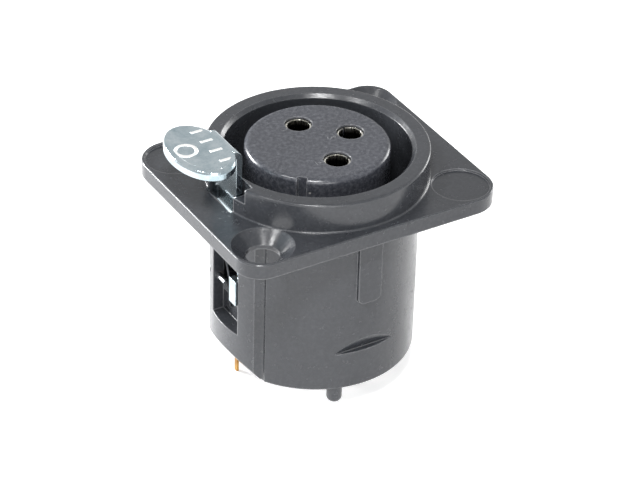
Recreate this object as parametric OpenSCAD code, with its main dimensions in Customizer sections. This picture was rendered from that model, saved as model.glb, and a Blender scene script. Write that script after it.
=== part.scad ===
// Panel socket for a three-pole circular connector, with a push latch and board tails.
// The origin is on the barrel's axis at the back face of the flange, where the panel lies.
// +Z points out of the mouth, and the latch is on the -X side.

/* [Flange] */
// Length of the flange, across the latch
flange_l = 31; // [30.5:0.1:34]
// Width of the flange
flange_w = 26; // [25.5:0.1:30]
// Thickness of the flange
flange_t = 1.7; // [1.5:0.1:2.2]
// Radius of the two corners with a screw hole
corner_r = 2.8; // [1:0.1:3.4]
// Radius of the two corners without one
blank_corner_r = 3.6; // [1:0.1:4.5]
// Chamfer round the flange's front edge
flange_edge = 0.1; // [0.05:0.05:0.3]
// Distance between the two screw holes along X
hole_dx = 24; // [23.6:0.1:24.2]
// Distance between the two screw holes along Y
hole_dy = 19; // [18.8:0.1:19.2]
// Diameter of a screw hole
screw_d = 3.6; // [2.6:0.1:3.8]
// Diameter of the countersink at the front face
sink_d = 6.6; // [5.4:0.1:6.8]
// Straight length of a screw hole below its countersink
sink_land = 0.5; // [0.2:0.1:0.9]
// Diameter of the shallow round recess in each corner without a hole
dimple_d = 6.2; // [4:0.1:6.6]
// Depth of that recess
dimple_t = 0.25; // [0.1:0.05:0.5]

/* [Collar and mouth] */
// Outer diameter of the collar round the mouth
collar_d = 23.9; // [23:0.1:24]
// Height of the collar above the flange
collar_h = 3.4; // [2.6:0.1:4.5]
// Rounding of the collar's outer rim
collar_edge = 0.25; // [0.1:0.05:0.5]
// Fillet between the collar and the flange
collar_fillet = 0.2; // [0.1:0.05:0.4]
// Diameter of the mouth, outside the plug's shell
mouth_d = 20; // [19.8:0.1:20.2]
// Chamfer at the lip of the mouth
mouth_chamfer = 0.4; // [0.1:0.05:0.6]
// Depth of the ring-shaped gap for the plug's shell
mouth_depth = 16.6; // [15.5:0.1:17.2]

/* [Barrel] */
// Diameter of the barrel behind the panel
barrel_d = 22; // [21.8:0.1:22.4]
// Length of the barrel behind the panel
barrel_l = 18.9; // [18.2:0.1:24]
// Step in the barrel's bore that the insert's base sits in
bore_step = 0.8; // [0.6:0.05:0.85]
// How far the land round the latch window stands proud of the barrel
land_t = 0.3; // [0.15:0.01:0.4]
// Half of the angle that the land spans
land_angle = 26.5; // [22:0.5:28]
// Radius of the flute on each side of the land
flute_r = 0.8; // [0.8:0.1:1.4]
// Depth of that flute
flute_t = 0.2; // [0.1:0.05:0.4]
// Width of each centring rib under the flange
rib_w = 2.8; // [2:0.1:5]
// Height of a centring rib above the barrel
rib_h = 0.45; // [0.2:0.05:0.6]
// Length of a centring rib
rib_l = 8.2; // [5:0.1:11]
// Depth of the snap ledge on each flank at its lower edge
ledge_t = 0.65; // [0.3:0.01:0.9]
// Height of the snap ledge's sloping face
ledge_h = 1.6; // [1:0.05:2.5]
// Distance from the flange's back to the snap ledge
ledge_z = 14.5; // [14:0.1:16]
// How far the rear edge is set back below the latch window
relief_t = 1.05; // [0.6:0.05:1.4]
// Height of that set-back
relief_h = 1.9; // [1:0.1:2.5]
// Radius of the set-back's surface
relief_r = 40; // [16:1:50]
// Diameter of a locating peg
peg_d = 1.7; // [1.2:0.05:1.7]
// Length of a locating peg
peg_l = 2.1; // [1.5:0.1:3.2]
// Angle between a locating peg and the side opposite the latch
peg_angle = 107; // [96:1:118]

/* [Insert] */
// Diameter of the insert that carries the contacts
insert_d = 15.5; // [15:0.1:15.7]
// How far the insert's face stands proud of the collar
insert_proud = 0.3; // [0:0.05:0.6]
// Rounding of the edge of the insert's face
insert_round = 0.55; // [0.2:0.05:0.8]
// Width of the keyway down the insert
key_w = 1; // [0.6:0.1:1.6]
// Depth of the keyway
key_t = 0.55; // [0.3:0.05:0.8]
// Angle of the keyway from the side opposite the latch
key_angle = 227; // [222:1:232]
// Thickness of the cover that closes the back
cover_t = 1.4; // [1:0.1:2]
// How far the cover lies below the barrel's rear edge
cover_sunk = 0.2; // [0:0.05:0.4]

/* [Contacts] */
// Diameter of the circle that the contacts stand on
contact_circle_d = 8; // [7.8:0.05:8.2]
// Diameter of the hole in the insert's face over each contact
face_hole_d = 2.94; // [2.6:0.02:3]
// Length of that hole
face_hole_l = 0.25; // [0.2:0.05:1]
// Bore of a contact, for the plug's pin
contact_bore_d = 2.45; // [2.42:0.01:2.5]
// Wall of a contact's tube
contact_wall = 0.32; // [0.25:0.01:0.4]
// Length of a contact's tube
contact_tube_l = 12.5; // [11.5:0.1:13.5]
// Depth of a contact's bore
contact_bore_l = 11; // [9:0.1:11]
// Length of the slits that let a contact's tube spring
slit_l = 6; // [3:0.1:8]
// Width of a slit
slit_w = 0.3; // [0.2:0.05:0.4]
// Length of the board tails below the barrel
tail_l = 3.6; // [2.8:0.1:6]
// Width of a board tail
tail_w = 0.9; // [0.6:0.05:1.1]
// Thickness of a board tail
tail_t = 0.5; // [0.3:0.05:0.6]
// Thickness of the ground strap
strap_t = 0.25; // [0.2:0.05:0.35]
// Width of the ground strap
strap_w = 0.5; // [0.4:0.05:1.2]
// Distance of the ground strap from the middle plane
strap_y = 1.75; // [1.2:0.05:1.9]
// Height of the ground strap's foot above the floor of the gap
strap_rise = 1.4; // [0.8:0.1:2.5]
// Wall of the base outside the ground strap
strap_wall = 0.55; // [0.3:0.05:0.7]

/* [Latch] */
// Thickness of the lever's sheet
sheet_t = 0.7; // [0.5:0.02:0.74]
// Width of the lever's web
lever_w = 5; // [4.6:0.1:5.4]
// Gap between the lever and the sides of its window
side_gap = 0.15; // [0.1:0.01:0.3]
// Gap between the lever and the wall behind it
web_gap = 0.2; // [0.15:0.01:0.3]
// Wall between the mouth and the lever's slot
web_wall = 0.3; // [0.2:0.05:0.4]
// Height of the tab's top above the flange's back
tab_z = 8.75; // [7.5:0.1:10]
// Width of the tab
tab_w = 10.2; // [7:0.1:11]
// Length of the tab beyond the fold
tab_l = 5.9; // [4.5:0.1:6.5]
// Height of the tab's turned-down rim
rim_h = 1.15; // [0.75:0.05:1.4]
// Depth of the dish in the tab's top
dish_t = 0.08; // [0.02:0.01:0.15]
// Inner radius of the fold between the tab and the web
fold_r = 0.3; // [0.2:0.05:0.5]
// Distance of the pivot behind the flange's back
pivot_z = 9.85; // [9.4:0.05:10.2]
// Diameter of the pivot pin
pin_d = 0.6; // [0.5:0.02:0.64]
// Clearance all round the pin in the lever
pin_gap = 0.04; // [0.02:0.01:0.08]
// How far the lever swings open, in degrees
swing = 3; // [2:0.5:4]
// Distance from the flange's back to the lower end of the web
web_l = 5.4; // [4.6:0.1:6.4]
// Width of the lug that folds over the lower end of the lever's arm
lug_w = 1.3; // [0.9:0.1:1.4]
// Height of that lug
lug_h = 3; // [2:0.1:3.2]
// Distance from the pivot to the lug's lower end
lug_drop = 0.6; // [0.3:0.1:0.8]
// Distance from the flange's back to the hook's catching face
hook_z = 3.2; // [2.6:0.1:3.6]
// How far the hook reaches into the gap
hook_reach = 0.65; // [0.3:0.05:0.8]
// Width of the hook
hook_w = 3; // [2:0.1:3.4]
// Width of the notch in the collar
notch_w = 8.4; // [7:0.1:9.4]
// Height of the notch's floor above the flange
notch_floor = 1.7; // [1:0.1:2.2]
// Distance from the flange's back to the window's lower edge
window_z = 14.2; // [13.5:0.05:15.5]
// Depth of the window's lower part, below the barrel's surface
window_t = 1.3; // [0.8:0.05:1.45]

/* [Spring] */
// Thickness of the spring wire
wire_d = 0.25; // [0.2:0.01:0.3]
// Number of turns in the spring
turns = 5; // [3:1:6]
// Gap between the spring's coil and the pin
coil_gap = 0.05; // [0.03:0.01:0.08]

/* [Hidden] */
$fn = 96;

// Cuts run past the faces that they open by this much
cut = 0.5;
// Clearance all round a piece that is pushed into the housing or the insert
seat_gap = 0.05;

black = "#3b3c40";
silver = "#c9ced2";
tin = "#d8d2bd";
brass = "#b98d3e";

collar_z = flange_t + collar_h;
collar_r = collar_d / 2;
mouth_r = mouth_d / 2;
barrel_r = barrel_d / 2;
land_r = barrel_r + land_t;
floor_z = collar_z - mouth_depth;
base_r = mouth_r - bore_step - seat_gap;
face_z = collar_z + insert_proud;
cover_z = -barrel_l + cover_sunk;
base_z = cover_z + cover_t;
tail_z = -barrel_l - tail_l;

// Outline of a bar's cross-section: a rectangle with both upper corners cut off
function chamfered(w, h, c) = [
    [-w / 2, 0], [w / 2, 0], [w / 2, h - c],
    [w / 2 - c, h], [-w / 2 + c, h], [-w / 2, h - c]
];

// Points of an arc about a centre
function arc(x, y, r, from, to, steps) = [
    for (i = [0 : steps])
        let (a = from + (to - from) * i / steps)
        [x + r * cos(a), y + r * sin(a)]
];

// Flange: where two chamfered bars cross, with its corners cut round
module flange_plate() {
    difference() {
        intersection() {
            rotate([90, 0, 90])
                linear_extrude(flange_l, center = true)
                    polygon(chamfered(flange_w, flange_t, flange_edge));
            rotate([90, 0, 0])
                linear_extrude(flange_w, center = true)
                    polygon(chamfered(flange_l, flange_t, flange_edge));
        }
        for (i = [0, 1]) {
            rotate([0, 0, 180 * i])
                corner_cut(flange_l / 2, flange_w / 2, corner_r);
            rotate([0, 0, 180 * i + 90])
                corner_cut(flange_w / 2, flange_l / 2, blank_corner_r);
        }
    }
}

// What a round corner loses from a plate that reaches to x and y
module corner_cut(x, y, r) {
    translate([x - r, y - r, 0])
        difference() {
            translate([0, 0, -cut])
                cube([r + cut, r + cut, flange_t + 2 * cut]);
            translate([0, 0, -2 * cut])
                cylinder(r = r, h = flange_t - flange_edge + 2 * cut);
            translate([0, 0, flange_t - flange_edge])
                cylinder(r1 = r, r2 = r - flange_edge, h = flange_edge);
        }
}

module screw_hole() {
    translate([0, 0, -cut])
        cylinder(d = screw_d, h = flange_t + 2 * cut);
    translate([0, 0, sink_land])
        cylinder(d1 = screw_d, d2 = sink_d, h = flange_t - sink_land);
    translate([0, 0, flange_t])
        cylinder(d = sink_d, h = cut);
}

// Collar: a ring with a rounded outer rim and a fillet at its foot
module collar() {
    rotate_extrude()
        polygon(concat(
            [[0, 0], [collar_r + collar_fillet, 0]],
            arc(collar_r + collar_fillet, flange_t + collar_fillet, collar_fillet, 270, 180, 4),
            arc(collar_r - collar_edge, collar_z - collar_edge, collar_edge, 0, 90, 4),
            [[0, collar_z]]
        ));
}

// Barrel with the proud land that frames the latch window
module barrel() {
    translate([0, 0, -barrel_l])
        cylinder(r = barrel_r, h = barrel_l + flange_t / 2);
    intersection() {
        translate([0, 0, -barrel_l])
            cylinder(r = land_r, h = barrel_l + flange_t / 2);
        translate([0, 0, -barrel_l])
            linear_extrude(barrel_l + flange_t / 2)
                polygon([
                    [0, 0],
                    [-barrel_d * cos(land_angle), barrel_d * sin(land_angle)],
                    [-barrel_d * cos(land_angle), -barrel_d * sin(land_angle)]
                ]);
    }
}

// Angle between the land's edge and the middle of its flute
flute_angle = asin(flute_r / barrel_r) * 0.6;

// Flutes that part the land from the barrel
module flutes() {
    for (side = [-1, 1])
        rotate([0, 0, 180 + side * (land_angle + flute_angle)])
            translate([barrel_r + flute_r - flute_t, 0, -barrel_l - cut])
                cylinder(r = flute_r, h = barrel_l + cut);
}

// Centring rib: a flat-faced bar with round lower corners, kept within the rib's own radius
module centring_rib(side) {
    round_r = rib_w / 4;
    intersection() {
        translate([0, 0, -rib_l])
            cylinder(r = barrel_r + rib_h, h = rib_l + flange_t / 2);
        rotate([90, 0, side * 90 + 90])
            translate([0, 0, barrel_r - 2])
                linear_extrude(4)
                    union() {
                        translate([-rib_w / 2, -rib_l + round_r])
                            square([rib_w, rib_l - round_r + flange_t / 2]);
                        translate([-rib_w / 2 + round_r, -rib_l])
                            square([rib_w - 2 * round_r, rib_l]);
                        for (x = [-1, 1])
                            translate([x * (rib_w / 2 - round_r), -rib_l + round_r])
                                circle(r = round_r);
                    }
    }
}

// Snap ledge: a sloping flat that deepens to a square step at its lower edge
module snap_ledge(side) {
    rotate([90, 0, side * 90])
        linear_extrude(barrel_d, center = true)
            polygon([
                [barrel_r + cut, -ledge_z],
                [barrel_r - ledge_t, -ledge_z],
                [barrel_r, -ledge_z + ledge_h],
                [barrel_r + cut, -ledge_z + ledge_h * (1 + cut / ledge_t)]
            ]);
}

// Set-back of the rear edge below the window: all that lies outside a leaning cylinder
module rear_relief() {
    lean = atan((relief_t + land_t) / relief_h);
    reach = barrel_r - relief_t;
    difference() {
        translate([-barrel_d, -barrel_r, -barrel_l - cut])
            cube([barrel_d, barrel_d, relief_h + 2 * cut]);
        translate([-reach, 0, -barrel_l])
            rotate([0, -lean, 0])
                translate([relief_r, 0, -barrel_d])
                    cylinder(r = relief_r, h = 2 * barrel_d);
    }
}

slot_x = mouth_r + web_wall;
lever_in = slot_x + web_gap;
lever_out = lever_in + sheet_t;
pivot_x = mouth_r + pin_d / 2;
window_w = lever_w + 2 * side_gap;
// The lever's outer face at the flange's front when it is swung open, with room to spare
slot_out = lever_out + (flange_t + pivot_z) * tan(swing) + side_gap;
// Upper edge of the part of the window that opens into the mouth
hook_window_z = hook_z - (hook_reach + web_wall + web_gap) * 1.3 - 0.7;

// Notch in the collar, slot through the flange and window in the barrel's wall
module latch_openings() {
    translate([-collar_d, -notch_w / 2, flange_t + notch_floor])
        cube([collar_d - slot_x, notch_w, collar_h]);
    translate([-slot_out, -window_w / 2, -window_z])
        cube([slot_out - slot_x, window_w, window_z + collar_z]);
    translate([-slot_out, -window_w / 2, floor_z])
        cube([slot_out - mouth_r * 0.9, window_w, -floor_z - hook_window_z]);
    translate([-slot_out, -window_w / 2, -window_z])
        cube([slot_out - barrel_r + window_t, window_w, window_z + floor_z + 0.01]);
}

pin_far_y = window_w / 2 + 1.1;
pin_near_y = -window_w / 2 - 0.9;

module housing() {
    color(black)
        difference() {
            union() {
                flange_plate();
                collar();
                barrel();
                for (side = [-1, 1])
                    centring_rib(side);
                for (side = [-1, 1])
                    rotate([0, 0, side * peg_angle])
                        translate([barrel_r - peg_d / 2 - seat_gap, 0, -barrel_l - peg_l])
                            locating_peg();
            }
            translate([0, 0, floor_z])
                cylinder(r = mouth_r, h = mouth_depth + cut);
            translate([0, 0, collar_z - mouth_chamfer])
                cylinder(r1 = mouth_r, r2 = mouth_r + mouth_chamfer + cut, h = mouth_chamfer + cut);
            translate([0, 0, -barrel_l - cut])
                cylinder(r = base_r + seat_gap, h = barrel_l + cut + floor_z + 0.01);
            for (side = [-1, 1])
                translate([side * hole_dx / 2, side * hole_dy / 2, 0])
                    screw_hole();
            for (side = [-1, 1])
                translate([side * hole_dx / 2, -side * hole_dy / 2, flange_t - dimple_t])
                    cylinder(d = dimple_d, h = dimple_t + cut);
            flutes();
            for (side = [-1, 1])
                snap_ledge(side);
            rear_relief();
            latch_openings();
            translate([-pivot_x, pin_near_y - seat_gap, -pivot_z])
                rotate([-90, 0, 0])
                    cylinder(d = pin_d + 2 * seat_gap, h = pin_far_y - pin_near_y + seat_gap + barrel_r);
        }
}

// Peg with a rounded tip, standing on its tip's end
module locating_peg() {
    tip_r = peg_d * 0.35;
    rotate_extrude()
        polygon(concat(
            [[0, 0]],
            arc(peg_d / 2 - tip_r, tip_r, tip_r, -90, 0, 4),
            [[peg_d / 2, peg_l + cut], [0, peg_l + cut]]
        ));
}

contact_r = contact_bore_d / 2 + contact_wall;
contact_z = face_z - face_hole_l;

module contact_insert() {
    color(black)
        difference() {
            union() {
                rotate_extrude()
                    polygon(concat(
                        [[0, floor_z - cut], [insert_d / 2, floor_z - cut]],
                        arc(insert_d / 2 - insert_round, face_z - insert_round, insert_round, 0, 90, 6),
                        [[0, face_z]]
                    ));
                translate([0, 0, base_z])
                    cylinder(r = base_r, h = floor_z - base_z);
            }
            rotate([0, 0, key_angle])
                translate([insert_d / 2 - key_t, -key_w / 2, floor_z])
                    cube([key_t + cut, key_w, face_z - floor_z + cut]);
            for (a = contact_angles)
                at_contact(a) {
                    translate([0, 0, contact_z - cut])
                        cylinder(d = face_hole_d, h = face_hole_l + 2 * cut);
                    translate([0, 0, base_z - cut])
                        cylinder(r = contact_r + seat_gap, h = contact_z - base_z + cut);
                }
            strap_slot(base_z - cut, floor_z + cut);
            translate([-mouth_r, strap_y - strap_w / 2 - seat_gap, floor_z])
                cube([mouth_r - strap_x + strap_t / 2 + seat_gap, strap_w + 2 * seat_gap,
                      strap_rise + seat_gap]);
        }
}

// Contacts 1, 2 and 3 stand beside the latch's plane, opposite each other, and away from the latch
contact_angles = [90, -90, 0];

module at_contact(a) {
    rotate([0, 0, a])
        translate([contact_circle_d / 2, 0, 0])
            children();
}

// The ground strap stands inside the base's edge, so that the base holds it all round
strap_x = base_r - strap_wall - strap_t / 2;

module strap_slot(low, high) {
    translate([-strap_x - strap_t / 2 - seat_gap, strap_y - strap_w / 2 - seat_gap, low])
        cube([strap_t + 2 * seat_gap, strap_w + 2 * seat_gap, high - low]);
}

module rear_cover() {
    color(black)
        difference() {
            translate([0, 0, cover_z])
                cylinder(r = base_r, h = cover_t);
            for (a = contact_angles)
                at_contact(a)
                    translate([-tail_t / 2 - seat_gap, -tail_w / 2 - seat_gap, cover_z - cut])
                        cube([tail_t + 2 * seat_gap, tail_w + 2 * seat_gap, cover_t + 2 * cut]);
            strap_slot(cover_z - cut, base_z + cut);
        }
}

// Contact: a slit tube that grips the plug's pin, a grooved shank, and a flat board tail
module socket_contact() {
    shank_r = contact_bore_d / 2 + contact_wall / 2;
    shoulder_z = (contact_z - contact_tube_l + base_z) / 2;
    lip = contact_wall / 2;
    difference() {
        union() {
            rotate_extrude()
                polygon([
                    [0, base_z], [shank_r, base_z],
                    [shank_r, shoulder_z - 0.6], [contact_r, shoulder_z - 0.6],
                    [contact_r, shoulder_z + 0.6], [shank_r, shoulder_z + 0.6],
                    [shank_r, contact_z - contact_tube_l], [contact_r, contact_z - contact_tube_l],
                    [contact_r, contact_z - lip], [contact_r - lip, contact_z],
                    [0, contact_z]
                ]);
            translate([-tail_t / 2, -tail_w / 2, tail_z])
                cube([tail_t, tail_w, base_z - tail_z + cut]);
        }
        translate([0, 0, contact_z - contact_bore_l])
            cylinder(d = contact_bore_d, h = contact_bore_l + cut);
        translate([-slit_w / 2, -contact_d_cut / 2, contact_z - slit_l])
            cube([slit_w, contact_d_cut, slit_l + cut]);
    }
}

contact_d_cut = 2 * contact_r + 2 * cut;

module contact(i) {
    color(tin)
        at_contact(contact_angles[i])
            socket_contact();
}

// Ground contact: a straight strap whose foot meets the end of the plug's shell
module ground_contact() {
    foot_l = mouth_r - 0.5 - strap_x - strap_t / 2;
    color(brass) {
        translate([-strap_x - strap_t / 2, strap_y - strap_w / 2, tail_z])
            cube([strap_t, strap_w, floor_z + strap_rise - tail_z]);
        translate([-strap_x - strap_t / 2 - foot_l, strap_y - strap_w / 2, floor_z + strap_rise - strap_t])
            cube([foot_l + strap_t / 2, strap_w, strap_t]);
    }
}

// Outline of the tab at a share of its full size, about the middle of its width
tab_reach = slot_x + web_gap + sheet_t + fold_r + tab_l;
tab_mid_x = tab_reach - tab_l * 0.55;
function tab_ring(grow, z, steps) = [
    for (i = [0 : steps - 1])
        let (a = 360 * i / steps)
        [-tab_mid_x + (tab_reach - tab_mid_x + grow) * cos(a), (tab_w / 2 + grow) * sin(a), z]
];

// Closed solid through a stack of rings that all have the same number of points
module loft(rings) {
    steps = len(rings[0]);
    last = len(rings) - 1;
    polyhedron(
        points = [for (ring = rings) each ring],
        faces = concat(
            [[for (i = [0 : steps - 1]) i]],
            [for (k = [0 : last - 1], i = [0 : steps - 1])
                [k * steps + i, (k + 1) * steps + i,
                 (k + 1) * steps + (i + 1) % steps, k * steps + (i + 1) % steps]],
            [[for (i = [steps - 1 : -1 : 0]) last * steps + i]]
        ),
        convexity = 4
    );
}

// Tab: a dished oval with a rounded, turned-down rim
module tab() {
    steps = 64;
    round_r = 0.35;
    fold_x = lever_out + fold_r;
    intersection() {
        difference() {
            loft([
                tab_ring(-0.15, tab_z - rim_h, steps),
                tab_ring(0, tab_z - rim_h + 0.15, steps),
                tab_ring(0, tab_z - round_r, steps),
                tab_ring(-round_r * 0.3, tab_z - round_r * 0.3, steps),
                tab_ring(-round_r, tab_z, steps),
                tab_ring(-round_r * 1.6, tab_z, steps),
                tab_ring(-round_r * 2.2, tab_z - dish_t, steps)
            ]);
            loft([
                tab_ring(-0.7, tab_z - rim_h - cut, steps),
                tab_ring(-0.7, tab_z - sheet_t - dish_t, steps)
            ]);
        }
        translate([-tab_reach - cut, -tab_w, tab_z - 2 * rim_h])
            cube([tab_reach + cut - fold_x, 2 * tab_w, 4 * rim_h]);
    }
    translate([-tab_mid_x, -lever_w / 2, tab_z - sheet_t - dish_t])
        cube([tab_mid_x - fold_x, lever_w, sheet_t]);
}

// Fold: a quarter of a ring between the tab and the web
module fold() {
    translate([-lever_out - fold_r, 0, tab_z - sheet_t - fold_r])
        intersection() {
            rotate([90, 0, 0])
                difference() {
                    cylinder(r = fold_r + sheet_t, h = lever_w, center = true);
                    cylinder(r = fold_r, h = lever_w + cut, center = true);
                }
            translate([0, -lever_w, 0])
                cube([2 * lever_w, 2 * lever_w, 2 * lever_w]);
        }
}

arm_end_r = 0.8;

// Side arm of the lever, with an eye for the pin and a lug that folds over its lower end
module lever_arm() {
    arm_top = web_l - 2.4;
    arm_in = mouth_r - 0.15;
    waist_x = lever_in + 0.1;
    lug_z = pivot_z + lug_drop - lug_h;
    difference() {
        union() {
            translate([0, (sheet_t - lever_w) / 2, 0])
                rotate([90, 0, 0])
                    linear_extrude(sheet_t, center = true)
                        union() {
                            polygon([
                                [-lever_out, -arm_top], [-lever_in, -arm_top],
                                [-arm_in, -web_l], [-arm_in, -pivot_z],
                                [-lever_out, -pivot_z], [-lever_out, -lug_z],
                                [-waist_x, -lug_z], [-waist_x, -web_l],
                                [-lever_out, -web_l]
                            ]);
                            intersection() {
                                translate([-lever_out + arm_end_r, -pivot_z])
                                    circle(r = arm_end_r);
                                translate([-lever_out, -pivot_z - arm_end_r])
                                    square([lever_out - arm_in, arm_end_r]);
                            }
                        }
            translate([-lever_out, -lever_w / 2, -lug_z - lug_h])
                cube([sheet_t, lug_w, lug_h]);
        }
        translate([-pivot_x, -lever_w / 2 - cut, -pivot_z])
            rotate([-90, 0, 0])
                cylinder(d = pin_d + 2 * pin_gap, h = lug_w + 2 * cut);
    }
}

// Hook: a wedge pressed out of the web towards the mouth
module hook() {
    tip_x = mouth_r - hook_reach;
    land = 0.35;
    ramp_z = hook_z - land - (lever_in - tip_x) * 1.3;
    rotate([90, 0, 0])
        linear_extrude(hook_w, center = true)
            polygon([
                [-lever_in - sheet_t / 2, -hook_z], [-tip_x, -hook_z],
                [-tip_x, -hook_z + land], [-lever_in, -ramp_z],
                [-lever_in - sheet_t / 2, -ramp_z]
            ]);
}

module latch_lever() {
    color(silver) {
        tab();
        fold();
        translate([-lever_out, -lever_w / 2, -web_l])
            cube([sheet_t, lever_w, web_l + tab_z - sheet_t - fold_r]);
        lever_arm();
        hook();
    }
}

module latch_pin() {
    color(silver)
        translate([-pivot_x, pin_near_y, -pivot_z])
            rotate([-90, 0, 0])
                cylinder(d = pin_d, h = pin_far_y - pin_near_y);
}

coil_r = pin_d / 2 + coil_gap + wire_d / 2;
pitch = wire_d * 1.1;
leg_x = lever_out + wire_d / 2 + 0.02;
leg_y = lever_w / 2 - lug_w - 1.5 * wire_d;
rest_x = barrel_r - window_t + wire_d / 2 + 0.02;

// Centre line of the spring: one leg over the web, the coil round the pin, one leg to the floor
function spring_path() = concat(
    [[-leg_x, -leg_y, -web_l + 1],
     [-leg_x, -leg_y, -web_l - 0.2],
     [-pivot_x - coil_r - 0.12, -leg_y, -pivot_z + 1.6],
     [-pivot_x - coil_r, -(leg_y + turns * pitch / 2) / 2, -pivot_z + 0.7]],
    [for (i = [0 : turns * 16 + 8])
        let (a = 180 - i * 22.5)
        [-pivot_x + coil_r * cos(a), (i / 16 - turns / 2) * pitch, -pivot_z + coil_r * sin(a)]],
    [[-rest_x, (turns + 1) * pitch / 2, -pivot_z - 1.6],
     [-rest_x, (turns + 1) * pitch / 2, -window_z + 1.2]]
);

// Round wire along a path that runs mostly in planes across Y
module wire(path, d, sides) {
    last = len(path) - 1;
    across = [0, 1, 0];
    points = [
        for (i = [0 : last])
            let (t = path[min(i + 1, last)] - path[max(i - 1, 0)])
            let (n = cross(t, across) / norm(cross(t, across)))
            for (k = [0 : sides - 1])
                path[i] + d / 2 * (n * cos(360 * k / sides) + across * sin(360 * k / sides))
    ];
    polyhedron(
        points = points,
        faces = concat(
            [[for (k = [0 : sides - 1]) k]],
            [for (i = [0 : last - 1], k = [0 : sides - 1])
                [i * sides + k, (i + 1) * sides + k,
                 (i + 1) * sides + (k + 1) % sides, i * sides + (k + 1) % sides]],
            [[for (k = [sides - 1 : -1 : 0]) last * sides + k]]
        ),
        convexity = 10
    );
}

module latch_spring() {
    color(silver)
        wire(spring_path(), wire_d, 8);
}

housing();
contact_insert();
rear_cover();
contact(0);  // contact_1
contact(1);  // contact_2
contact(2);  // contact_3
ground_contact();
latch_lever();
latch_pin();
latch_spring();
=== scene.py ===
import math

import bmesh
import bpy
from mathutils import Matrix, Vector


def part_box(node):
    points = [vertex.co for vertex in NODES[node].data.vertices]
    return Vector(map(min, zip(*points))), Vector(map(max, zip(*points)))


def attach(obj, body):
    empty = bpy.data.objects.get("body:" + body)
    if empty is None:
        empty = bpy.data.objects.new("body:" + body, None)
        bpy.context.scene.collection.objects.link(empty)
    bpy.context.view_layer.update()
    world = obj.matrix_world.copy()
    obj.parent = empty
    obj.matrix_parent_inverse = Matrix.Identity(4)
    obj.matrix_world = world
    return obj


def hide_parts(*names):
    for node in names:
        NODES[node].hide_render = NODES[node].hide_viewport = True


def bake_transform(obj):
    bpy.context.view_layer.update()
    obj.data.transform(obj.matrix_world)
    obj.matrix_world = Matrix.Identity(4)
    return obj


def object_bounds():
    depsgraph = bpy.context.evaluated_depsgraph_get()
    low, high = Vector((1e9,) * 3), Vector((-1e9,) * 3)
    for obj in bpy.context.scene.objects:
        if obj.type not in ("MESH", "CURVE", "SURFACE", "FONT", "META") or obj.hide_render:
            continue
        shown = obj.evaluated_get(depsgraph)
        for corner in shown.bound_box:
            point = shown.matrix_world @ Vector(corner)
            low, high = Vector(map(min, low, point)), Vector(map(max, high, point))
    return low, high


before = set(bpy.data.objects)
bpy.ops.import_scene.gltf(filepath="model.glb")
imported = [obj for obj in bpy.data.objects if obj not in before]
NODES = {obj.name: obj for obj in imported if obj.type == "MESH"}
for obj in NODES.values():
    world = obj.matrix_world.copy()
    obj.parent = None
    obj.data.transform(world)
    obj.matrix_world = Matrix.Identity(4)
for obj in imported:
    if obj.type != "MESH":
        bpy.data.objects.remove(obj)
CAD_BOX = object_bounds()
MM = 0.001

# Places that the details share: the heights come from the frame
FACE_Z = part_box("contact_insert")[1][2]
TAB_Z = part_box("latch_lever")[1][2]
CONTACT_CIRCLE = 4.0 * MM

BLACK = (0.0, 0.0, 0.0, 1.0)
WHITE = (1.0, 1.0, 1.0, 1.0)
BEVEL_SAMPLES = 6


def placed(name, data):
    """A new object of the scene."""
    obj = bpy.data.objects.new(name, data)
    bpy.context.scene.collection.objects.link(obj)
    return obj


# Materials

def srgb(code):
    """Linear colour of a hex code, with alpha."""
    parts = [int(code[i:i + 2], 16) / 255 for i in (1, 3, 5)]
    linear = [c / 12.92 if c <= 0.04045 else ((c + 0.055) / 1.055) ** 2.4 for c in parts]
    return (*linear, 1.0)


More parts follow.
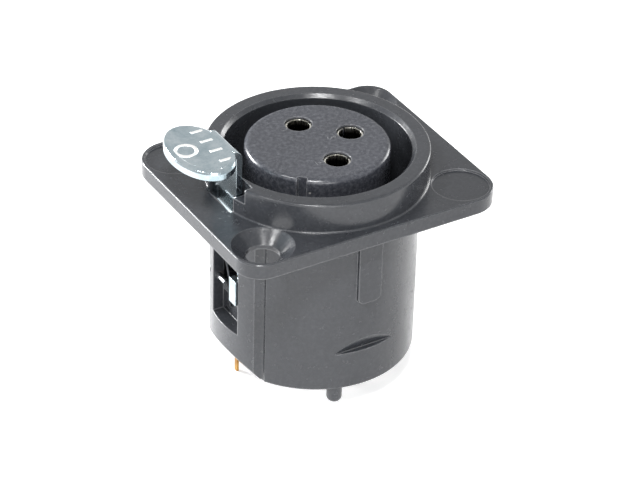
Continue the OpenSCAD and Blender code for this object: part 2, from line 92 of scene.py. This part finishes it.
class Graph:
    """A material's node graph, with short calls for the nodes that the finishes share."""

    def __init__(self, name):
        self.material = bpy.data.materials.new(name)
        self.material.use_nodes = True
        self.tree = self.material.node_tree
        self.tree.nodes.clear()
        self.out = self.tree.nodes.new("ShaderNodeOutputMaterial")
        self.shader = self.tree.nodes.new("ShaderNodeBsdfPrincipled")
        self.link(self.shader.outputs[0], self.out.inputs["Surface"])
        self.place = self.tree.nodes.new("ShaderNodeTexCoord").outputs["Object"]

    def link(self, a, b):
        self.tree.links.new(a, b)

    def noise(self, scale, detail=3.0, rough=0.5, stretch=None):
        """Smooth noise in the CAD frame, drawn out along an axis by a low stretch."""
        node = self.tree.nodes.new("ShaderNodeTexNoise")
        node.inputs["Scale"].default_value = scale
        node.inputs["Detail"].default_value = detail
        node.inputs["Roughness"].default_value = rough
        place = self.place
        if stretch:
            mapping = self.tree.nodes.new("ShaderNodeMapping")
            mapping.inputs["Scale"].default_value = stretch
            self.link(place, mapping.inputs["Vector"])
            place = mapping.outputs[0]
        self.link(place, node.inputs["Vector"])
        return node.outputs["Fac"]

    def cells(self, scale):
        """Distance to the nearest of many scattered points."""
        node = self.tree.nodes.new("ShaderNodeTexVoronoi")
        node.inputs["Scale"].default_value = scale
        self.link(self.place, node.inputs["Vector"])
        return node.outputs["Distance"]

    def ramp(self, value, stops):
        """Colours of (place, colour) stops along a value."""
        node = self.tree.nodes.new("ShaderNodeValToRGB")
        items = node.color_ramp.elements
        while len(items) < len(stops):
            items.new(0.5)
        for item, (at, colour) in zip(items, stops):
            item.position = at
            item.color = colour
        self.link(value, node.inputs["Fac"])
        return node.outputs["Color"]

    def grey(self, value, low, high, from_low=0.3, from_high=0.7):
        """A value that runs from low to high while the given one crosses its range."""
        node = self.tree.nodes.new("ShaderNodeMapRange")
        node.inputs["From Min"].default_value = from_low
        node.inputs["From Max"].default_value = from_high
        node.inputs["To Min"].default_value = low
        node.inputs["To Max"].default_value = high
        self.link(value, node.inputs["Value"])
        return node.outputs["Result"]

    def mix(self, a, b, share):
        """Colour a at share 0 and colour b at share 1."""
        node = self.tree.nodes.new("ShaderNodeMix")
        node.data_type = "RGBA"
        for value, socket in ((share, node.inputs[0]), (a, node.inputs[6]), (b, node.inputs[7])):
            if isinstance(value, (tuple, float)):
                socket.default_value = value
            else:
                self.link(value, socket)
        return node.outputs[2]

    def rounded(self, radius):
        """Normal of the surface with its edges rounded."""
        node = self.tree.nodes.new("ShaderNodeBevel")
        node.samples = BEVEL_SAMPLES
        node.inputs["Radius"].default_value = radius
        return node.outputs[0]

    def edges(self, radius, share):
        """Share of painted highlight on edges: 0 on flats, up to share where such a rounding would
        lie.
        """
        flat = self.tree.nodes.new("ShaderNodeNewGeometry")
        node = self.tree.nodes.new("ShaderNodeVectorMath")
        node.operation = "DOT_PRODUCT"
        self.link(flat.outputs["Normal"], node.inputs[0])
        self.link(self.rounded(radius), node.inputs[1])
        return self.grey(node.outputs["Value"], share, 0.0, 0.8, 0.97)

    def height(self, low, high):
        """Share of height in the CAD frame: 0 up to low and 1 from high up."""
        node = self.tree.nodes.new("ShaderNodeSeparateXYZ")
        self.link(self.place, node.inputs[0])
        return self.grey(node.outputs[2], 0.0, 1.0, low, high)

    def bumps(self, layers, edge_r):
        """Bump layers of (height, distance, strength) over edges rounded by edge_r."""
        normal = self.rounded(edge_r)
        for height, distance, strength in layers:
            node = self.tree.nodes.new("ShaderNodeBump")
            node.inputs["Distance"].default_value = distance
            node.inputs["Strength"].default_value = strength
            self.link(height, node.inputs["Height"])
            self.link(normal, node.inputs["Normal"])
            normal = node.outputs[0]
        self.link(normal, self.shader.inputs["Normal"])

    def set(self, **values):
        """Set the shader's sockets by name, a constant directly and the rest by a link."""
        for name, value in values.items():
            socket = self.shader.inputs[name.replace("_", " ")]
            if isinstance(value, (int, float, tuple)):
                socket.default_value = value
            else:
                self.link(value, socket)
        return self.material


GRAIN_DEEP = 0.02 * MM
FLOW_DEEP = 0.06 * MM
PALE_GRAIN = "#8a8c92"
# Lighter colour for a painted highlight along edges
EDGE_PAINTED_HIGHLIGHT = "#a4a5a8"
SPECK = "#9a9a98"


def moulded_plastic(name, dark, light, rough, edge_r, mottle):
    """Dyed plastic from a satin mould: mottled grain, flow marks, a few specks and a painted
    highlight along the edges.
    """
    g = Graph(name)
    flow = g.noise(90.0, 4.0, 0.6, (1.0, 1.0, 0.4))
    grain = g.noise(5200.0, 2.0)
    body = g.ramp(flow, [(0.3, srgb(dark)), (0.7, srgb(light))])
    pale = g.grey(g.noise(2600.0, 2.0, 0.7), 0.0, mottle, 0.42, 0.72)
    body = g.mix(body, srgb(PALE_GRAIN), pale)
    # Painted highlight: the edges are mixed towards a lighter colour, standing in for the glints
    # of rounded edges
    body = g.mix(body, srgb(EDGE_PAINTED_HIGHLIGHT), g.edges(edge_r * 2.0, 0.35))
    speck = g.ramp(g.cells(620.0), [(0.0, WHITE), (0.07, WHITE), (0.1, BLACK)])
    rare = g.ramp(g.noise(260.0, 0.0), [(0.75, BLACK), (0.77, WHITE)])
    colour = g.mix(body, srgb(SPECK), g.mix(BLACK, speck, rare))
    g.bumps([(grain, GRAIN_DEEP, 0.35), (flow, FLOW_DEEP, 0.12)], edge_r)
    return g.set(
        Base_Color=colour,
        Roughness=g.grey(g.noise(900.0, 4.0, 0.7), rough - 0.06, rough + 0.08),
        Specular_IOR_Level=0.5,
    )


ROLLING_DEEP = 0.004 * MM
DENT_DEEP = 0.06 * MM
SHEET_EDGE_R = 0.08 * MM


def plated_sheet(name, tint, dark, rough, wear=0.1):
    """Bright plating over rolled sheet: fine rolling lines, a mottled tarnish and soft dents."""
    g = Graph(name)
    lines = g.noise(2600.0, 3.0, 0.6, (1.0, 0.06, 1.0))
    mottle = g.noise(420.0, 5.0, 0.65)
    colour = g.ramp(mottle, [(0.36, srgb(dark)), (0.62, srgb(tint))])
    dents = g.noise(300.0, 2.0)
    g.bumps([(lines, ROLLING_DEEP, 0.25), (dents, DENT_DEEP, 0.25)], SHEET_EDGE_R)
    return g.set(
        Base_Color=colour,
        Metallic=1.0,
        Roughness=g.grey(mottle, rough + wear, rough),
    )


DRAWING_DEEP = 0.005 * MM
FADE = 0.5 * MM
# Colour for painted shade in the contacts' bores
BORE_PAINTED_SHADE = "#3b3832"


def drawn_metal(name, tint, dark, rough, along, edge_r=0.04 * MM, shade_heights=None):
    """Drawn or turned metal with marks along it and a little tarnish.

    With the two heights given, it is painted darker between them, as painted shade in the bore.
    """
    g = Graph(name)
    marks = g.noise(3800.0, 3.0, 0.6, along)
    colour = g.ramp(g.noise(700.0, 4.0, 0.6), [(0.35, srgb(dark)), (0.65, srgb(tint))])
    # Painted shade: darker between the two heights, where the bore lies in shade
    if shade_heights:
        low, high = shade_heights
        inside = g.mix(srgb(BORE_PAINTED_SHADE), colour, g.height(high - FADE, high))
        colour = g.mix(colour, inside, g.height(low, low + FADE))
    g.bumps([(marks, DRAWING_DEEP, 0.4)], edge_r)
    return g.set(
        Base_Color=colour,
        Metallic=1.0,
        Roughness=g.grey(marks, rough, rough + 0.15),
    )


def sight_rays(tree):
    """1 for the rays that show the background: to the camera, mirrored or let through."""
    path = tree.nodes.new("ShaderNodeLightPath")
    total = path.outputs["Is Camera Ray"]
    for kind in ("Is Glossy Ray", "Is Transmission Ray"):
        node = tree.nodes.new("ShaderNodeMath")
        node.operation = "MAXIMUM"
        tree.links.new(total, node.inputs[0])
        tree.links.new(path.outputs[kind], node.inputs[1])
        total = node.outputs[0]
    return total


FLOOR_LIFT = 0.55


def floor_material():
    """Pale floor that shows as white away from the object's shadow."""
    g = Graph("floor_pale")
    g.set(
        Base_Color=g.ramp(g.noise(30.0, 2.0), [(0.3, srgb("#f4f4f4")), (0.7, srgb("#f8f8f8"))]),
        Roughness=0.9,
        Specular_IOR_Level=0.1,
        Emission_Color=WHITE,
    )
    lift = g.tree.nodes.new("ShaderNodeMath")
    lift.operation = "MULTIPLY"
    lift.inputs[1].default_value = FLOOR_LIFT
    g.link(sight_rays(g.tree), lift.inputs[0])
    g.link(lift.outputs[0], g.shader.inputs["Emission Strength"])
    return g.material


MOULD_EDGE_R = 0.15 * MM
HOUSING = moulded_plastic("black_moulding", "#2f3135", "#36383c", 0.22, MOULD_EDGE_R, 0.05)
INSERT = moulded_plastic("insert_moulding", "#33353b", "#3b3d44", 0.24, MOULD_EDGE_R, 0.26)
NICKEL = plated_sheet("nickel_plate", "#c2cdd2", "#a0b1b8", 0.1)
# Rougher nickel for the tab's marks, its colour lightened as a painted highlight
NICKEL_MARK_PAINTED_HIGHLIGHT = plated_sheet("nickel_mark", "#fbfbf8", "#e6eaea", 0.4, 0.2)
ALONG_Y = (1.0, 0.05, 1.0)
ALONG_Z = (1.0, 1.0, 0.05)
# The contacts get painted shade in their bores below the face
TIN = drawn_metal(
    "tinned_copper", "#e2e0d8", "#c2bfb2", 0.2, ALONG_Z,
    edge_r=0.08 * MM, shade_heights=(-11.0 * MM, FACE_Z - 0.4 * MM),
)
BRASS = drawn_metal("bare_brass", "#c79a55", "#8d6432", 0.3, ALONG_Z)
STEEL = drawn_metal("drawn_steel", "#c2c5c8", "#8f9396", 0.25, ALONG_Y)
WIRE = drawn_metal("spring_wire", "#4c4e51", "#303234", 0.35, (1.0, 1.0, 0.3))

FINISHES = {
    "housing": HOUSING,
    "contact_insert": INSERT,
    "rear_cover": INSERT,
    "contact_1": TIN,
    "contact_2": TIN,
    "contact_3": TIN,
    "ground_contact": BRASS,
    "latch_lever": NICKEL,
    "latch_pin": STEEL,
    "latch_spring": WIRE,
}
for node_name, finish in FINISHES.items():
    mesh = NODES[node_name].data
    mesh.materials.clear()
    mesh.materials.append(finish)


# The spring's wire, whose upper leg leans on the lever: the spring part copied in place

spring_wire = placed("spring_wire", NODES["latch_spring"].data.copy())
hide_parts("latch_spring")
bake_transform(spring_wire)


# Pieces that are drawn as small raised marks

def raised_line(name, points, radius, material, body, rise=1.0):
    """A rounded raised line through points, as one mesh piece, with its height scaled by rise."""
    curve = bpy.data.curves.new(name, "CURVE")
    curve.dimensions = "3D"
    curve.bevel_depth = radius
    curve.bevel_resolution = 3
    curve.use_fill_caps = True
    spline = curve.splines.new("POLY")
    spline.points.add(len(points) - 1)
    for target, point in zip(spline.points, points):
        target.co = (*point, 1.0)
    drawn = placed(name + "_curve", curve)
    bpy.context.view_layer.update()
    mesh = bpy.data.meshes.new_from_object(drawn)
    mesh.name = name
    bpy.data.objects.remove(drawn)
    obj = placed(name, mesh)
    mesh.materials.clear()
    mesh.materials.append(material)
    for face in mesh.polygons:
        face.use_smooth = True
    middle = points[0][2]
    for vertex in mesh.vertices:
        vertex.co.z = middle + (vertex.co.z - middle) * rise
    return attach(obj, body)


def arc(cx, cy, r, start, end, steps):
    """Points of an arc in a plane, from start to end in degrees."""
    turns = [math.radians(start + (end - start) * i / steps) for i in range(steps + 1)]
    return [(cx + r * math.cos(turn), cy + r * math.sin(turn)) for turn in turns]


# Strokes of the contact numbers, in a box one unit high
DIGITS = {
    "1": [(-0.18, 0.32), (0.05, 0.5), (0.05, -0.5)],
    "2": arc(0.0, 0.22, 0.28, 170, -35, 8) + [(-0.3, -0.5), (0.32, -0.5)],
    "3": arc(0.0, 0.24, 0.26, 160, -80, 8) + arc(0.0, -0.23, 0.28, 80, -160, 8),
}
DIGIT_H = 0.85 * MM
DIGIT_LINE_R = 0.06 * MM
DIGIT_Z = FACE_Z - DIGIT_LINE_R * 0.45


def contact_number(digit, x, y):
    """A raised number on the insert's face, upright as seen from the latch."""
    points = [(x + DIGIT_H * v, y - DIGIT_H * u, DIGIT_Z) for u, v in DIGITS[digit]]
    raised_line("number_" + digit, points, DIGIT_LINE_R, INSERT, "body")


# The tab's raised marks: a row of short grip ribs beside the fold and a plain ring
TAB_MARK_R = 0.2 * MM
TAB_MARK_RISE = 0.5
TAB_MARK_Z = TAB_Z - TAB_MARK_R * TAB_MARK_RISE
RIB_LENGTH = 1.35 * MM
RIB_PITCH = 2.05 * MM
RIB_X = -12.8 * MM
RIBS = 4
RING_X, RING_Y, RING_R = -15.56 * MM, 0.32 * MM, 1.1 * MM


def tab_mark(name, points):
    """A low mark on the tab's face, through points of the plane."""
    raised_line(
        name, [(x, y, TAB_MARK_Z) for x, y in points],
        TAB_MARK_R, NICKEL_MARK_PAINTED_HIGHLIGHT, "lever", TAB_MARK_RISE,
    )


for index in range(RIBS):
    y = (index - (RIBS - 1) / 2) * RIB_PITCH
    tab_mark(f"tab_rib_{index + 1}", [(RIB_X - RIB_LENGTH / 2, y), (RIB_X + RIB_LENGTH / 2, y)])
tab_mark("tab_boss", arc(RING_X, RING_Y, RING_R, 0, 360, 40))

contact_number("1", -1.9 * MM, CONTACT_CIRCLE - 0.4 * MM)
contact_number("2", -1.9 * MM, -CONTACT_CIRCLE + 0.4 * MM)
contact_number("3", CONTACT_CIRCLE - 2.3 * MM, 0.0)


# Floor, light and camera

FLOOR_HALF = 1.5
mesh = bpy.data.meshes.new("floor")
bm = bmesh.new()
bmesh.ops.create_grid(bm, x_segments=8, y_segments=8, size=FLOOR_HALF)
bm.to_mesh(mesh)
bm.free()
mesh.materials.append(floor_material())
floor = placed("floor", mesh)
floor.location = (0.0, 0.0, CAD_BOX[0][2])

TARGET = Vector((0.6 * MM, -0.4 * MM, -7.1 * MM))


def soft_lamp(name, azimuth, elevation, distance, size, power):
    """A square soft lamp that faces the object, with its angles in degrees."""
    lamp = bpy.data.lights.new(name, "AREA")
    lamp.size = size
    lamp.energy = power
    a, e = math.radians(azimuth), math.radians(elevation)
    away = Vector((math.cos(e) * math.cos(a), math.cos(e) * math.sin(a), math.sin(e)))
    obj = placed(name, lamp)
    obj.location = TARGET + away * distance
    obj.rotation_euler = away.to_track_quat("Z", "Y").to_euler()


soft_lamp("lamp_left", 124.0, 6.0, 0.5, 0.2, 8.0)
soft_lamp("lamp_key", -126.0, 56.0, 0.25, 0.045, 0.5)
soft_lamp("lamp_over", 174.0, 60.0, 0.25, 0.04, 0.15)
soft_lamp("lamp_low", -112.0, 6.0, 0.5, 0.3, 1.6)
soft_lamp("lamp_right", 8.0, 10.0, 0.5, 0.2, 1.2)

# The room's strength for light on surfaces, and where it is seen or mirrored
ROOM_LIGHT = 0.2
ROOM_SEEN = 1.0

world = bpy.data.worlds.new("white_room")
bpy.context.scene.world = world
world.use_nodes = True
tree = world.node_tree
tree.nodes.clear()
strength = tree.nodes.new("ShaderNodeMapRange")
strength.inputs["To Min"].default_value = ROOM_LIGHT
strength.inputs["To Max"].default_value = ROOM_SEEN
tree.links.new(sight_rays(tree), strength.inputs["Value"])
back = tree.nodes.new("ShaderNodeBackground")
tree.links.new(strength.outputs["Result"], back.inputs["Strength"])
tree.links.new(back.outputs[0], tree.nodes.new("ShaderNodeOutputWorld").inputs["Surface"])

# The camera that was solved from the photograph
CAMERA_AT = Vector((-0.13699, -0.22306, 0.16744))
CAMERA_RIGHT = Vector((0.85943, -0.51064, 0.02515))
CAMERA_BEHIND = Vector((-0.43696, -0.70810, 0.55466))

camera_data = bpy.data.cameras.new("camera")
camera_data.sensor_width = 36.0
camera_data.lens = 164.72
camera_data.clip_end = 10.0
camera = placed("camera", camera_data)
right = CAMERA_RIGHT.normalized()
behind = CAMERA_BEHIND.normalized()
up = behind.cross(right).normalized()
right = up.cross(behind)
turn = Matrix((right, up, behind)).transposed()
camera.matrix_world = Matrix.Translation(CAMERA_AT) @ turn.to_4x4()
bpy.context.scene.camera = camera
bpy.context.scene.view_settings.view_transform = "Standard"
